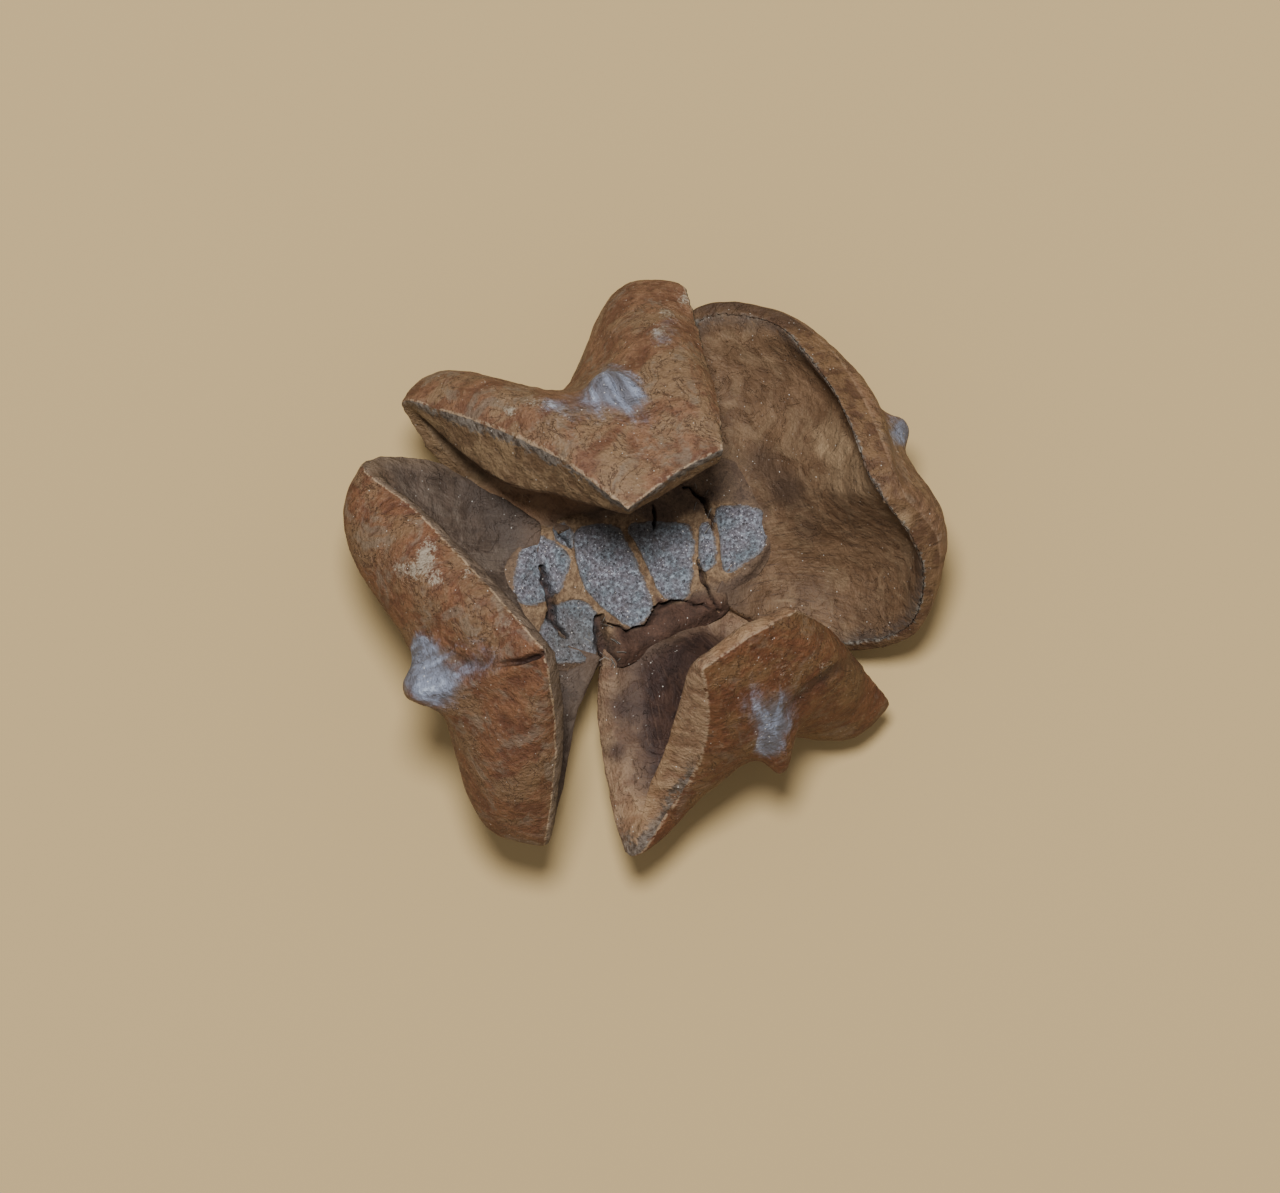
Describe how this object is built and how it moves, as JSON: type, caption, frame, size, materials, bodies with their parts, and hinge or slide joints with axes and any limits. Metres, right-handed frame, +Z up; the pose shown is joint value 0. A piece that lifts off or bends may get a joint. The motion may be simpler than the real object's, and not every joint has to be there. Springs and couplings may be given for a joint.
{
  "type": "arar cone",
  "caption": "Opened woody seed cone: thick two-lobed scales in opposite pairs, each with a blunt spine, round a core with seed scars and a short stalk.",
  "frame": {"origin": "centre of the stalk's broken end, on the surface that the cone stands on", "axes": "+Z up from that surface; +X the way the cone leans, towards its widest open scale; +Y makes it right-handed"},
  "size_m": [0.02, 0.0193, 0.0146],
  "materials": {
    "cone_core": "matte, dusty, with pale seed scars",
    "top_scale": "dry red-brown, slightly rough",
    "right_scale": "dark brown, smoother inside",
    "bottom_scale": "dry red-brown, slightly rough",
    "left_scale": "dry red-brown, slightly rough"
  },
  "bodies": {
    "root": {"cone_core": "cone_core", "top_scale": "top_scale", "right_scale": "right_scale", "bottom_scale": "bottom_scale", "left_scale": "left_scale"}
  },
  "joints": []
}
